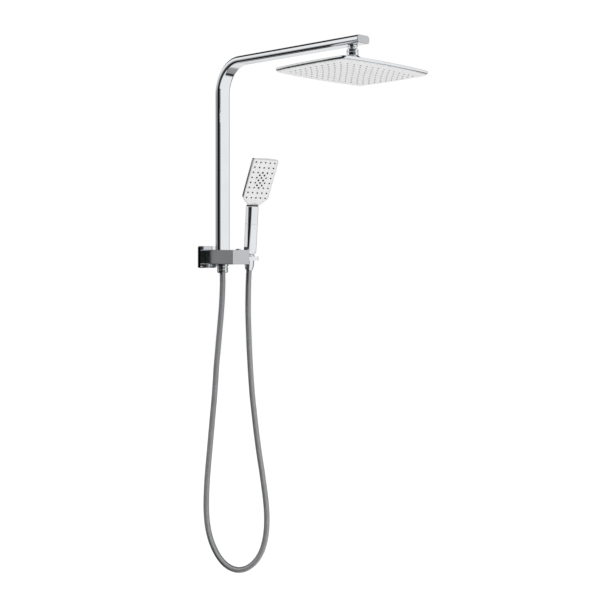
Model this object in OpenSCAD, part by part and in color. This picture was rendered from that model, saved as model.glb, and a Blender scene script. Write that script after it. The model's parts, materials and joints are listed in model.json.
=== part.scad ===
// Rainfall shower column: wall block with a diverter, a bent flat riser with a
// swivelling rectangular rain head, and a handset on a steel hose.
// Origin: centre of the wall plate where it meets the wall.
// -Y points from the wall into the room, +X to the user's right, +Z up. Millimetres.

/* [Wall plate] */
// Width of the cover plate
plate_w = 82; // [76:1:110]
// Height of the cover plate
plate_h = 52; // [48:1:80]
// Depth of the cover plate from the wall
plate_t = 11; // [9:0.5:16]
// Corner radius of the cover plate
plate_r = 4; // [1:0.5:8]
// Sheet thickness of the cover plate
plate_wall = 1.6; // [1:0.1:2.5]
// Distance between the two wall screw holes
wall_hole_gap = 68; // [66:1:70]
// Radius of a wall screw hole
wall_hole_r = 2.6; // [2:0.1:3.5]
// Thickness of the steel wall bracket
bracket_t = 2; // [1.5:0.1:3]

/* [Diverter block] */
// Width of the block
block_w = 52; // [50:1:62]
// Height of the block
block_h = 34; // [32:0.5:40]
// Distance from the wall to the front of the block
block_reach = 110; // [108:1:150]
// Radius along the long edges of the block
block_r = 1.6; // [0.5:0.1:3]
// Radius of the inlet thread, G 1/2 female
inlet_r = 9.5; // [9:0.1:10.5]
// Depth of the inlet thread
inlet_depth = 16; // [12:1:20]
// Distance from the wall to the diverter button
button_reach = 100; // [92:1:100]
// Radius of the diverter button
button_r = 6; // [5:0.5:7]
// Travel of the diverter button
button_travel = 2; // [1:0.5:3]
// Height that the button stands above the block
button_proud = 2.4; // [2:0.1:4]

/* [Riser and arm] */
// Distance from the wall to the axis of the riser
pipe_reach = 43; // [35:1:55]
// Width of the flat tube
pipe_w = 36; // [30:1:44]
// Thickness of the flat tube
pipe_t = 16.5; // [15:0.5:22]
// Corner radius of the flat tube
pipe_r = 6; // [2:0.5:6]
// Wall of the flat tube
pipe_wall = 1.2; // [0.8:0.1:2]
// Height of the centre of the bend above the inlet
bend_z = 387; // [300:1:800]
// Radius of the bend, to the middle of the tube
bend_r = 71.5; // [50:0.5:100]
// Fall of the arm towards its end, in degrees
arm_drop = 1.1; // [0:0.1:3]
// Distance from the wall to the middle of the rain head
head_reach = 464; // [380:1:600]
// Length of the arm beyond the rain head's stem
arm_tail = 29; // [22:1:50]

/* [Ball joint] */
// Radius of the ball
ball_r = 8; // [7:0.1:8.2]
// Distance from the arm's underside to the ball's centre
stem_drop = 15.5; // [15.5:0.5:25]
// Radius of the stem's neck
neck_r = 5; // [4:0.1:5]
// Radius of the collar under the arm
collar_r = 10.3; // [9:0.1:12]
// Radius of the swivel nut
swivel_r = 12.3; // [12.2:0.1:16]
// Gap between one ball shell and the next
shell_gap = 0.3; // [0.2:0.05:0.4]
// Thickness of one ball shell
shell_t = 0.6; // [0.5:0.1:0.8]

/* [Rain head] */
// Width of the head at its corners
head_w = 258; // [230:1:360]
// Depth of the head at its corners
head_d = 196; // [170:1:300]
// Outward bow of the left and right edges
head_bow_x = 5; // [1:0.5:12]
// Outward bow of the front and back edges
head_bow_y = 9; // [1:0.5:16]
// Radius of the head's corners
head_corner_r = 6; // [3:0.5:12]
// Distance from the ball's centre down to the face
head_drop = 45; // [43:0.5:60]
// Height of the chromed rim
rim_h = 6; // [4:0.5:10]
// Distance that the face stands below the rim
face_drop = 3; // [2:0.5:5]
// Wall of the top shell
head_wall = 2.4; // [1.5:0.1:3]
// Nozzles along the width
nozzles_x = 14; // [6:1:16]
// Nozzles along the depth
nozzles_y = 10; // [5:1:12]
// Width of the nozzle field at its corners
field_w = 221; // [160:1:230]
// Depth of the nozzle field at its corners
field_d = 141; // [100:1:156]
// Radius of a nozzle at its tip
nozzle_r = 1.1; // [0.8:0.1:1.5]
// Distance that a nozzle stands out of the face
nozzle_proud = 1.8; // [1:0.1:3]

/* [Hose] */
// Radius of the hose
hose_r = 7; // [6:0.5:7.5]
// Radius of the outlet collar under the block
outlet_r = 14; // [12:0.5:16]
// Height of the outlet collar
outlet_h = 5.6; // [4:0.2:8]
// Radius of the hose nut at the outlet
hose_nut_r = 12.8; // [12.5:0.1:15]
// Height of the hose nut at the outlet
hose_nut_h = 14; // [12:0.5:18]
// Radius of the G 1/2 male threads
thread_r = 10.3; // [10.2:0.05:10.4]

/* [Handset holder] */
// Distance from the centre plane to the handset's axis
holder_x = 51.5; // [50:0.5:60]
// Distance from the wall to the handset's axis
holder_reach = 82; // [74:1:84]
// Forward lean of the handset's axis, in degrees
holder_tilt = 4.5; // [0:0.5:8]
// Thickness of the holder plate
holder_t = 9.5; // [6:0.5:14]
// Radius of the holder plate round the handset's axis
holder_r = 16.5; // [15.5:0.5:22]
// Height of the holder plate's top above the inlet
holder_top = 1.2; // [-2:0.2:3]
// Top radius of the conical nut
cone_top_r = 11.6; // [11.3:0.1:12.5]
// Radius of the conical nut where its lower taper starts
cone_mid_r = 10.9; // [10.8:0.05:11.2]
// Clearance between the conical nut and the liner
cone_gap = 0.3; // [0.2:0.05:0.5]

/* [Handset] */
// Turn of the handset towards the left, in degrees
handset_turn = 10; // [0:1:30]
// Width of the handle
handle_w = 25; // [23:0.5:32]
// Depth of the handle
handle_d = 23; // [22:0.5:30]
// Corner radius of the handle
handle_r = 5; // [3:0.5:8]
// Height of the neck above the inlet, along the handset's axis
neck_z = 121; // [90:1:160]
// Forward tilt of the spray head from the handle, in degrees
spray_tilt = 23; // [0:1:35]
// Width of the spray head
spray_w = 70; // [60:1:90]
// Length of the spray head's full-width part
spray_len = 102; // [95:1:130]
// Length of the taper between neck and full width
spray_taper = 21; // [15:1:30]
// Thickness of the spray head
spray_t = 13.5; // [12:0.5:20]
// Distance between the handset's nozzles
spray_pitch = 12.9; // [11:0.1:13]
// Wall of the handset's shells
shell_wall = 1.8; // [1.2:0.1:2.5]

/* [Hidden] */
$fn = 64;
fit_gap = 0.05;      // running fit between a shaft and its hole, on the radius
loose_gap = 0.3;     // gap between neighbouring pieces
cut = 1;             // overshoot of a cutting tool past a surface
o_ring_t = 0.9;      // radius of an O-ring's section

// Block and its water ways
block_top = block_h / 2;
boss_r = 14;
block_back = bracket_t + 0.2;
bracket_screw_x = 20;  // screws between bracket and block, from the centre
gallery_r = 3.5;
port_depth = 11.5;
port_r = 7.1;
spool_bore_r = 6.5;
spool_floor = -block_h / 2 + 4;
gland_h = 5;
stem_r = 3;
land_r = spool_bore_r - fit_gap;
spool_lands = [-6.2, -0.8, 4.6];
spring_h = 6;
spigot_rings = [block_top - port_depth + 3.2, block_top - 1.6];
washer_pocket = 2;   // depth of the smaller pocket for the inlet washer
holder_screw_z = [-12.3, 7.2];

// Bend, arm and ball centre
inner_t = pipe_t - 2 * pipe_wall;
inner_w = pipe_w - 2 * pipe_wall;
ball_level = bend_r - pipe_t / 2 - stem_drop;
stem_along = (head_reach - pipe_reach - bend_r - ball_level * sin(arm_drop)) / cos(arm_drop);
arm_len = stem_along + arm_tail;
ball_z = bend_z + ball_level * cos(arm_drop) - stem_along * sin(arm_drop);
collar_h = 4.4;
washer_t = 0.8;
insert_r = 9;
stem_thread_r = 7.5;
stem_bore_r = 3.2;

// Ball shells, from the inside out
liner_in = ball_r + shell_gap;
liner_out = liner_in + shell_t;
cup_in = liner_out + shell_gap;
cup_out = cup_in + shell_t;
pocket_r = cup_out + shell_gap;
nut_up = 7.4;
nut_down = 7.6;
nut_edge = 2.1;        // top chamfer, which clears the collar when the head tilts
nut_foot = 0.6;
throat_r = 8.1;
head_thread_r = 10.8;

// Rain head levels, measured up from the face
crown_z = 19;
crown_scale = 0.62;
hub_z = head_drop - 13.5;
hub_top = head_drop - 8;
hub_r = 18.5;
hub_top_r = 14;
neck_hole_r = 10.2;
face_t = 2;
mat_t = 1.4;
rim_inset = 3;
tray_wall = 2.4;
tray_lip = rim_h - head_wall - 0.2;
water_plate_t = 1.8;
head_screw_r = 1.5;
head_screw_x = 0.41 * head_w;
head_screw_y = 0.36 * head_d;

// Handset levels along its axis
cone_top = 5.2;
cone_mid = -22;
cone_bottom = -31;
cone_bottom_r = 8.2;
handle_bottom = 6.6;
handle_full = 15;
thread_bottom = -8;
handset_bore_r = 5;
handle_bore_r = 8.2;
liner_t = 1.6;
neck_cut = 30;         // reach of the space cut out for the handle
trim_h = 3.2;          // height of the black trim between handle and spray head
spray_back = 4.5;      // distance of the spray face in front of the handset's axis
spray_mid = spray_taper + (spray_len - 4) / 2 - 2;
spray_rim = 2.2;
spray_rows = 8;
spray_cols = 5;
spray_button_r = 8;
spray_button_travel = 1.5;
spray_button_proud = spray_button_travel + 0.3;
spray_button_sunk = 4;
spray_button_at = spray_taper + 20;

// Hose route from the outlet to the handset: distance towards the handset, height
hose_route = [
    [0, -45], [0, -65], [-1, -95], [-3, -128], [-6, -162], [-9, -196], [-12, -230], [-15, -264],
    [-17, -298], [-19.5, -332], [-22.5, -366], [-25.5, -400], [-28.5, -434], [-31.5, -468],
    [-34.5, -502], [-37, -536], [-38.5, -570], [-38.5, -602], [-36, -634], [-30, -664], [-20, -692],
    [-6, -717], [12, -736], [34, -746], [56, -744], [76, -731], [91, -710], [100, -685],
    [105, -655], [106, -620], [103.5, -584], [99, -548], [94, -512], [88.5, -476], [83.5, -440],
    [79, -404], [75, -368], [71, -330], [68, -290], [65.5, -250], [63.5, -210], [62, -170],
    [60.8, -130], [61, -90], [61.8, -60]
];
hose_start_z = -block_top - outlet_h - 1.2 - hose_nut_h;
hose_end_z = cone_bottom - fit_gap;
hose_end = [holder_x, -holder_reach - hose_end_z * sin(holder_tilt), hose_end_z * cos(holder_tilt)];
hose_span = norm([hose_end[0], hose_end[1] + pipe_reach]);
hose_side = [hose_end[0] / hose_span, (hose_end[1] + pipe_reach) / hose_span];
hose_points = concat(
    [[0, -pipe_reach, hose_start_z]],
    [for (p = hose_route) [p[0] * hose_side[0], p[0] * hose_side[1] - pipe_reach, p[1]]],
    [hose_end]);
hose_start_dir = [0, 0, -1];
hose_end_dir = [0, -sin(holder_tilt), cos(holder_tilt)];
hose_sides = 10;

// Crimp ends of the hose
ferrule_r = 7.1;
flange_t = 1.4;
flat_washer_t = 1.6;
outlet_flange_z = 2.3;
ferrule_flange_z = 19.3;
nipple_len = hose_nut_h + 1.2 - outlet_flange_z - flange_t - flat_washer_t - 2 * fit_gap;

// ---------- shared shapes ----------

module rounded(w, h, r) {
    square([w - 2 * r, h], center = true);
    square([w, h - 2 * r], center = true);
    for (x = [-1, 1], y = [-1, 1]) translate([x * (w / 2 - r), y * (h / 2 - r)]) circle(r);
}

module tube_section(w, h, r, wall) difference() {
    rounded(w, h, r);
    rounded(w - 2 * wall, h - 2 * wall, max(r - wall, 0.4));
}

// Extrudes a profile drawn in X and Z away from the wall
module outward(from, depth) translate([0, -from, 0]) rotate([90, 0, 0]) linear_extrude(depth) children();

// A washer or ring with its lower face at z
module ring(outer, inner, height, z = 0) translate([0, 0, z]) difference() {
    cylinder(r = outer, h = height);
    translate([0, 0, -cut]) cylinder(r = inner, h = height + 2 * cut);
}

module o_ring(r, t, z = 0) translate([0, 0, z]) rotate_extrude() translate([r, 0]) circle(t, $fn = 24);

// A countersunk screw whose head is flush with z = 0 and whose shank points down
module countersunk(shank_r, length, head_r) {
    translate([0, 0, -length]) cylinder(r = shank_r, h = length);
    translate([0, 0, -head_r + shank_r]) cylinder(r1 = shank_r, r2 = head_r, h = head_r - shank_r);
}

module hex_socket(across, depth) translate([0, 0, -depth])
    cylinder(r = across / sqrt(3), h = depth + cut, $fn = 6);

module at_riser() translate([0, -pipe_reach, 0]) children();
module at_button() translate([0, -button_reach, 0]) children();
module at_bend() translate([0, -pipe_reach - bend_r, bend_z]) rotate([90, 0, 90]) children();
module along_arm(distance) at_bend() rotate([0, 0, 90 + arm_drop]) translate([bend_r, distance, 0])
    rotate([-90, 0, 0]) children();
module at_ball() translate([0, -head_reach, ball_z]) children();
module at_stem() at_ball() rotate([arm_drop, 0, 0]) children();
module at_face() at_ball() translate([0, 0, -head_drop]) children();
module at_holder() translate([holder_x, -holder_reach, 0]) children();
module at_cone() at_holder() rotate([holder_tilt, 0, 0]) children();
module at_handset() at_cone() rotate([0, 0, -handset_turn]) children();
// Spray head frame: X across, Y along its length from the neck, Z out of the face
module at_spray() at_handset() translate([0, -spray_back, neck_z]) rotate([spray_tilt, 0, 0])
    rotate([90, 0, 0]) children();

// ---------- wall end ----------

module wall_plate() color("silver") difference() {
    outward(0, plate_t) rounded(plate_w, plate_h, plate_r);
    outward(-cut, plate_t - plate_wall + cut)
        rounded(plate_w - 2 * plate_wall, plate_h - 2 * plate_wall, plate_r - plate_wall);
    outward(-cut, plate_t + 2 * cut)
        rounded(block_w + 2 * loose_gap, block_h + 2 * loose_gap, block_r);
    translate([0, -plate_t / 2, -plate_h / 2 - cut]) cylinder(r = 1.6, h = plate_wall + 2 * cut);
}

module wall_bracket() color("gray") difference() {
    union() {
        outward(0, bracket_t)
            rounded(plate_w - 2 * plate_wall - 1, plate_h - 2 * plate_wall - 1, 1.5);
        translate([-8, -plate_t + plate_wall + 1, -plate_h / 2 + plate_wall + 0.5])
            cube([16, plate_t - plate_wall - 1, 1.6]);
    }
    outward(-cut, bracket_t + 2 * cut) circle(boss_r + fit_gap);
    for (x = [-1, 1]) {
        outward(-cut, bracket_t + 2 * cut) translate([x * wall_hole_gap / 2, 0]) circle(wall_hole_r);
        outward(-cut, bracket_t + 2 * cut) translate([x * bracket_screw_x, 0]) circle(2.05);
        translate([x * bracket_screw_x, 0.01, 0]) rotate([90, 0, 0]) cylinder(r1 = 4.05, r2 = 2.05, h = 2);
    }
}

module bracket_screws() color("dimgray") for (x = [-1, 1])
    translate([x * bracket_screw_x, 0, 0]) rotate([-90, 0, 0]) difference() {
        countersunk(2, 9, 4);
        hex_socket(2.5, 1.6);
    }

module plate_seal() color("black") outward(plate_t - plate_wall - 2, 2) difference() {
    rounded(block_w + 6, block_h + 6, block_r + 2);
    rounded(block_w, block_h, block_r);
}

module plate_grub_screw() color("dimgray") translate([0, -plate_t / 2, -plate_h / 2 + 0.3]) difference() {
    cylinder(r = 1.5, h = plate_wall + 0.15);
    rotate([180, 0, 0]) hex_socket(1.5, 0.9);
}

module inlet_washer() color("saddlebrown") translate([0, -inlet_depth + flat_washer_t + fit_gap, 0])
    rotate([90, 0, 0]) ring(inlet_r - loose_gap - 0.1, 5.2, flat_washer_t);

module inlet_filter() color("lightgray") translate([0, -inlet_depth + 0.6, 0]) rotate([90, 0, 0]) difference() {
    union() {
        cylinder(r = 5.1, h = 0.6);
        translate([0, 0, -1.2]) cylinder(r = 4.2, h = 1.6);
    }
    for (a = [0:45:315]) rotate([0, 0, a]) translate([2.8, 0, -3]) cylinder(r = 0.7, h = 5);
    translate([0, 0, -3]) cylinder(r = 1.2, h = 5);
}

// ---------- diverter block ----------

module diverter_block() color("silver") difference() {
    union() {
        outward(block_back, block_reach - block_back) rounded(block_w, block_h, block_r);
        outward(0, block_back + cut) circle(boss_r);
    }
    // inlet thread and the way forward to the valve
    outward(-cut, inlet_depth - washer_pocket + cut) circle(inlet_r);
    outward(-cut, inlet_depth + cut) circle(inlet_r - loose_gap);
    outward(inlet_depth - cut, button_reach - inlet_depth) circle(gallery_r);
    // riser port, hose port and their ways to the valve
    at_riser() translate([0, 0, block_top - port_depth]) cylinder(r = port_r, h = port_depth + cut);
    at_riser() translate([0, 0, -block_top - cut]) cylinder(r = port_r + 1.2, h = port_depth + cut);
    for (side = [-1, 1]) translate([0, 0, side * (block_top - port_depth + 3.6)])
        outward(pipe_reach, button_reach - pipe_reach) circle(2.2);
    // valve bore and the gland's thread
    at_button() translate([0, 0, spool_floor]) cylinder(r = spool_bore_r, h = block_h);
    at_button() translate([0, 0, block_top - gland_h]) cylinder(r = spool_bore_r + 1.5, h = gland_h + cut);
    // screw holes: bracket, riser lock and holder
    for (x = [-1, 1]) translate([x * bracket_screw_x, 0, 0]) rotate([90, 0, 0]) cylinder(r = 2, h = 12);
    translate([0, -pipe_reach, block_top - port_depth / 2]) rotate([0, 90, 0]) cylinder(r = 2.5, h = block_w);
    for (z = holder_screw_z) translate([block_w / 2 - 9, -holder_reach, z]) rotate([0, 90, 0])
        cylinder(r = 2, h = 12);
}

module diverter_gland() color("silver") at_button() difference() {
    translate([0, 0, block_top - gland_h]) cylinder(r = spool_bore_r + 1.45, h = gland_h + 0.4);
    translate([0, 0, block_top - gland_h - cut]) cylinder(r = stem_r + 0.1, h = gland_h);
    translate([0, 0, block_top - button_travel - 1.2]) cylinder(r = button_r + 0.1, h = gland_h);
}

module diverter_button() color("silver") at_button() difference() {
    union() {
        translate([0, 0, block_top - 0.9]) cylinder(r = button_r, h = button_proud + 0.5);
        translate([0, 0, block_top + button_proud - 0.4]) cylinder(r1 = button_r, r2 = button_r - 0.6, h = 0.6);
    }
    translate([0, 0, block_top - 0.9 - cut]) cylinder(r = stem_r - 0.8 + fit_gap, h = 2 + cut);
}

module diverter_spool() color("gold") at_button() difference() {
    union() {
        translate([0, 0, spool_floor + spring_h])
            cylinder(r = stem_r, h = block_top - spool_floor - spring_h - 0.9);
        translate([0, 0, block_top - 1.2]) cylinder(r = stem_r - 0.8, h = 2);
        for (z = spool_lands) translate([0, 0, z]) cylinder(r = land_r - 0.2, h = 3);
    }
    for (z = spool_lands) o_ring_groove(z + 1.5);
}

module o_ring_groove(z) translate([0, 0, z - o_ring_t]) difference() {
    cylinder(r = spool_bore_r + cut, h = 2 * o_ring_t);
    translate([0, 0, -cut]) cylinder(r = spool_bore_r - 2 * o_ring_t, h = 2 * o_ring_t + 2 * cut);
}

module spool_o_rings() color("black") at_button() for (z = spool_lands)
    o_ring(spool_bore_r - o_ring_t, o_ring_t - 0.02, z + 1.5);

module diverter_spring() color("gray") at_button() ring(4.4, 3.4, spring_h - 0.1, spool_floor + 0.05);

// ---------- riser and arm ----------

// The tube's course, filled, with the section drawn in by an inset and the ends carried on past the cuts
module tube_course(inset, over) {
    w = pipe_w - 2 * inset;
    t = pipe_t - 2 * inset;
    r = pipe_r - inset;
    at_riser() translate([0, 0, block_top - over]) linear_extrude(bend_z - block_top + over) rounded(w, t, r);
    at_bend() rotate_extrude(angle = 90 + arm_drop) translate([bend_r, 0]) rounded(t, w, r);
    along_arm(0) linear_extrude(arm_len + over) rounded(t, w, r);
}

module riser_pipe() color("silver") difference() {
    tube_course(0, 0);
    tube_course(pipe_wall, cut);
    at_stem() translate([0, 0, stem_drop - cut]) cylinder(r = stem_thread_r + 0.2, h = pipe_wall + 2 * cut);
}

module pipe_spigot() color("gold") at_riser() difference() {
    union() {
        translate([0, 0, block_top + 0.1]) linear_extrude(14)
            rounded(inner_w - 0.2, inner_t - 0.2, pipe_r - pipe_wall);
        translate([0, 0, block_top - port_depth + 0.3]) cylinder(r = port_r - 0.1, h = port_depth);
    }
    translate([0, 0, -block_top]) cylinder(r = 4, h = 3 * block_h);
    for (z = spigot_rings) translate([0, 0, z - o_ring_t]) difference() {
        cylinder(r = port_r + cut, h = 2 * o_ring_t);
        translate([0, 0, -cut]) cylinder(r = port_r - 2 * o_ring_t, h = 2 * o_ring_t + 2 * cut);
    }
}

module spigot_o_rings() color("black") at_riser() for (z = spigot_rings)
    o_ring(port_r - o_ring_t, o_ring_t - 0.02, z);

module spigot_grub_screw() color("dimgray")
    translate([0, -pipe_reach, block_top - port_depth / 2]) rotate([0, 90, 0]) difference() {
        translate([0, 0, port_r]) cylinder(r = 2.45, h = 8);
        translate([0, 0, port_r + 8]) hex_socket(2.5, 2.5);
    }

module arm_end_cap() color("silver") {
    along_arm(arm_len) linear_extrude(1.6) rounded(pipe_t, pipe_w, pipe_r);
    along_arm(arm_len - 6) linear_extrude(6)
        tube_section(inner_t - 0.2, inner_w - 0.2, pipe_r - pipe_wall, 1.4);
}

module arm_insert() color("gold") at_stem() difference() {
    translate([0, 0, stem_drop + pipe_wall + 0.05]) cylinder(r = insert_r, h = inner_t * 0.62);
    translate([0, 0, stem_drop]) cylinder(r = stem_thread_r + fit_gap, h = pipe_t);
}

module stem_washer() color("saddlebrown") at_stem()
    ring(collar_r - 0.6, stem_thread_r + 0.1, washer_t, stem_drop - washer_t);

module ball_stem() color("silver") at_stem() difference() {
    union() {
        sphere(r = ball_r);
        cylinder(r = neck_r, h = stem_drop - collar_h - washer_t + 1);
        translate([0, 0, stem_drop - washer_t - collar_h])
            cylinder(r1 = collar_r - 0.8, r2 = collar_r, h = 0.8);
        translate([0, 0, stem_drop - washer_t - collar_h + 0.8]) cylinder(r = collar_r, h = collar_h - 0.8);
        translate([0, 0, stem_drop - washer_t - cut])
            cylinder(r = stem_thread_r, h = washer_t + pipe_wall + 8 + cut);
    }
    translate([0, 0, -ball_r - cut]) cylinder(r = stem_bore_r, h = 60);
}

module ball_shell(inner, outer, band) difference() {
    sphere(r = outer);
    sphere(r = inner);
    for (side = [0, 1]) mirror([0, 0, side]) translate([0, 0, band]) cylinder(r = outer + cut, h = outer);
}

module ball_liner() color("ivory") at_ball() ball_shell(liner_in, liner_out, 4);

module ball_cup() color("white") at_ball() ball_shell(cup_in, cup_out, 5);

// ---------- rain head ----------

module swivel_nut() color("silver") at_ball() difference() {
    rotate_extrude() polygon([
        [0, -nut_down], [swivel_r - nut_foot, -nut_down], [swivel_r, -nut_down + nut_foot],
        [swivel_r, nut_up - nut_edge], [swivel_r - nut_edge, nut_up], [0, nut_up]]);
    sphere(r = pocket_r);
    translate([0, 0, -nut_down - cut]) cylinder(r = head_thread_r + fit_gap, h = nut_down - 0.7 + cut);
    cylinder(r1 = throat_r - 0.5, r2 = throat_r + 0.6, h = nut_up + 0.01);
}

module head_collar() color("silver") at_ball() difference() {
    union() {
        translate([0, 0, -nut_down]) cylinder(r = head_thread_r, h = nut_down - 1.2);
        translate([0, 0, -head_drop + hub_z - 3])
            cylinder(r = neck_hole_r - 0.1, h = head_drop - hub_z + 3 - nut_down + 0.1);
        translate([0, 0, -head_drop + hub_z - 3]) cylinder(r = hub_top_r, h = 3);
    }
    sphere(r = pocket_r);
    translate([0, 0, -head_drop]) cylinder(r = 5, h = head_drop);
    translate([0, 0, -head_drop + hub_z - 3 - cut]) cylinder(r = 8, h = 2 + cut);
}

module ball_seal() color("black") at_ball() o_ring(6, 0.55, -sqrt(pow(ball_r + 1.05, 2) - 36));

module flow_disc() color("royalblue") at_face() translate([0, 0, hub_z - 2.9]) difference() {
    cylinder(r = 7.9, h = 1.7);
    for (a = [0:60:300]) rotate([0, 0, a]) translate([4.5, 0, -cut]) cylinder(r = 1.1, h = 4);
}

// Plan outline of the head, drawn in by an inset: four bowed edges and round corners
function bow_radius(half, sag) = (half * half + sag * sag) / (2 * sag);
module head_outline(inset = 0) {
    half_w = head_w / 2 - inset;
    half_d = head_d / 2 - inset;
    radius_y = bow_radius(half_w, head_bow_y);
    radius_x = bow_radius(half_d, head_bow_x);
    corner = max(head_corner_r - inset, 1);
    steps = 8;
    front = [for (i = [-steps:steps]) let (x = (half_w - corner) * i / steps)
        [x, -(half_d + head_bow_y - radius_y + sqrt(radius_y * radius_y - x * x))]];
    right = [for (i = [-steps:steps]) let (y = (half_d - corner) * i / steps)
        [half_w + head_bow_x - radius_x + sqrt(radius_x * radius_x - y * y), y]];
    near = front[len(front) - 1];
    far = right[0];
    turn = [for (a = [15:15:75]) corner_point(near, far, a)];
    turn_back = [for (a = [75:-15:15]) corner_point(near, far, a)];
    // round from the front edge: front, right, back and left, with a corner after each
    polygon(concat(
        front, turn, right, [for (p = turn_back) [p[0], -p[1]]],
        [for (p = front) -p], [for (p = turn) -p], [for (p = right) -p], [for (p = turn_back) [-p[0], p[1]]]));
}
// A quarter of a superellipse from the end of the front edge to the start of the right edge
function corner_point(near, far, a) =
    [near[0] + (far[0] - near[0]) * sin(a), far[1] + (near[1] - far[1]) * cos(a)];

// The field of nozzles follows the bow of the edges
function nozzle_at(i, j) = let (u = 2 * i / (nozzles_x - 1) - 1, v = 2 * j / (nozzles_y - 1) - 1)
    [u * (field_w / 2 + 0.9 * head_bow_x * (1 - v * v)), v * (field_d / 2 + head_bow_y * (1 - u * u)), 0];
module each_nozzle() for (i = [0:nozzles_x - 1], j = [0:nozzles_y - 1]) translate(nozzle_at(i, j)) children();

module head_dome(inset, drop) hull() {
    translate([0, 0, face_drop]) linear_extrude(rim_h - drop) head_outline(inset);
    translate([0, 0, crown_z - drop]) linear_extrude(0.1) scale([crown_scale, crown_scale]) head_outline(inset);
    translate([0, 0, hub_z - drop]) cylinder(r = hub_r - inset, h = 0.1, $fn = 48);
}

module head_top_shell() color("silver") at_face() difference() {
    union() {
        head_dome(0, 0);
        translate([0, 0, hub_z - 2]) cylinder(r = hub_r, h = 2);
        translate([0, 0, hub_z]) cylinder(r1 = hub_r, r2 = hub_top_r, h = hub_top - hub_z);
    }
    difference() {
        head_dome(head_wall, head_wall);
        translate([0, 0, hub_z - head_wall]) cylinder(r = hub_r, h = head_wall + cut);
    }
    translate([0, 0, face_drop - cut]) linear_extrude(cut + 0.5) head_outline(head_wall);
    cylinder(r = neck_hole_r, h = 2 * head_drop);
    translate([0, 0, hub_z - 8]) cylinder(r = hub_top_r + 0.1, h = 8);
}

module head_face_plate() color("white") at_face() difference() {
    linear_extrude(face_drop + tray_lip) head_outline(rim_inset);
    translate([0, 0, face_t]) linear_extrude(face_drop + tray_lip) head_outline(rim_inset + tray_wall);
    translate([0, 0, -cut]) each_nozzle() cylinder(r = nozzle_r + 0.7, h = face_t + 2 * cut, $fn = 24);
}

module head_nozzle_mat() color("gray") at_face() {
    translate([0, 0, face_t]) linear_extrude(mat_t) head_outline(rim_inset + tray_wall + 0.4);
    translate([0, 0, -nozzle_proud]) each_nozzle()
        cylinder(r1 = nozzle_r, r2 = nozzle_r + 0.55, h = nozzle_proud + face_t + 0.2, $fn = 16);
}

module head_water_plate() color("dimgray") at_face() difference() {
    translate([0, 0, face_t + mat_t + 0.1]) linear_extrude(water_plate_t)
        head_outline(rim_inset + tray_wall + 0.6);
    for (x = [-1, 1], y = [-1, 1]) translate([x * head_screw_x, y * head_screw_y, 0])
        cylinder(r = head_screw_r + 0.2, h = 20);
    for (i = [0:2:nozzles_x - 1], j = [0:3:nozzles_y - 1]) translate(nozzle_at(i, j))
        cylinder(r = 2.5, h = 20, $fn = 24);
}

module head_gasket() color("black") at_face()
    translate([0, 0, face_t + mat_t + water_plate_t + 0.2]) linear_extrude(0.8) difference() {
        head_outline(rim_inset + tray_wall + 3);
        head_outline(rim_inset + tray_wall + 6);
    }

module head_screws() color("dimgray") at_face() for (x = [-1, 1], y = [-1, 1])
    translate([x * head_screw_x, y * head_screw_y, face_t + mat_t + 0.2]) difference() {
        union() {
            cylinder(r = head_screw_r, h = 5.6);
            translate([0, 0, 4]) cylinder(r = 2 * head_screw_r, h = 1.6);
        }
        translate([0, 0, 5.6]) hex_socket(1.5, 0.8);
    }

// ---------- hose ----------

module outlet_nipple() color("silver") at_riser() difference() {
    union() {
        translate([0, 0, -block_top]) cylinder(r = port_r + 1.1, h = port_depth - 0.5);
        translate([0, 0, -block_top - outlet_h]) cylinder(r1 = outlet_r - 0.8, r2 = outlet_r, h = 0.8);
        translate([0, 0, -block_top - outlet_h + 0.8]) cylinder(r = outlet_r, h = outlet_h - 0.8);
        translate([0, 0, -block_top - outlet_h - nipple_len]) cylinder(r = thread_r, h = nipple_len + 0.5);
    }
    translate([0, 0, -2 * block_h]) cylinder(r = 6, h = 3 * block_h);
}

module check_valve() color("ivory") at_riser() translate([0, 0, -block_top - 9]) difference() {
    union() {
        ring(5.9, 4.4, 12);
        translate([0, 0, 4]) cylinder(r = 4.5, h = 2.4);
    }
    for (a = [0:90:270]) rotate([0, 0, a]) translate([2.7, 0, 3]) cylinder(r = 0.9, h = 5);
}

module hose_nut() color("silver") at_riser() translate([0, 0, hose_start_z]) difference() {
    rotate_extrude() polygon([
        [0, 0], [hose_nut_r - 2.2, 0], [hose_nut_r, 2.2], [hose_nut_r, hose_nut_h - 0.8],
        [hose_nut_r - 0.8, hose_nut_h], [0, hose_nut_h]]);
    translate([0, 0, 2.2]) cylinder(r = thread_r + fit_gap, h = hose_nut_h);
    translate([0, 0, -cut]) cylinder(r = ferrule_r + 0.2, h = 4);
}

module hose_washer() color("black") at_riser()
    ring(thread_r - 0.2, 5, flat_washer_t, hose_start_z + outlet_flange_z + flange_t + fit_gap);

// A crimp end: flange inside the nut and a short sleeve that meets the hose at z = 0
module crimp_end(flange_z) difference() {
    union() {
        cylinder(r = ferrule_r, h = flange_z + 0.6);
        translate([0, 0, flange_z]) cylinder(r = thread_r - 0.3, h = flange_t);
    }
    translate([0, 0, -cut]) cylinder(r = 4.4, h = flange_z + 4);
}

module hose_ferrule() color("silver") at_riser() translate([0, 0, hose_start_z]) crimp_end(outlet_flange_z);

function unit(v) = v / norm(v);
function route_tangent(p, i) =
    i == 0 ? hose_start_dir
    : i == len(p) - 1 ? hose_end_dir
    : unit(p[i + 1] - p[i - 1]);
function route_ring(p, i) = let (
        ahead = route_tangent(p, i),
        up = unit(cross(ahead, [-hose_side[1], hose_side[0], 0])),
        side = cross(up, ahead))
    [for (k = [0:hose_sides - 1]) let (a = k * 360 / hose_sides) p[i] + hose_r * (cos(a) * side + sin(a) * up)];

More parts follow.
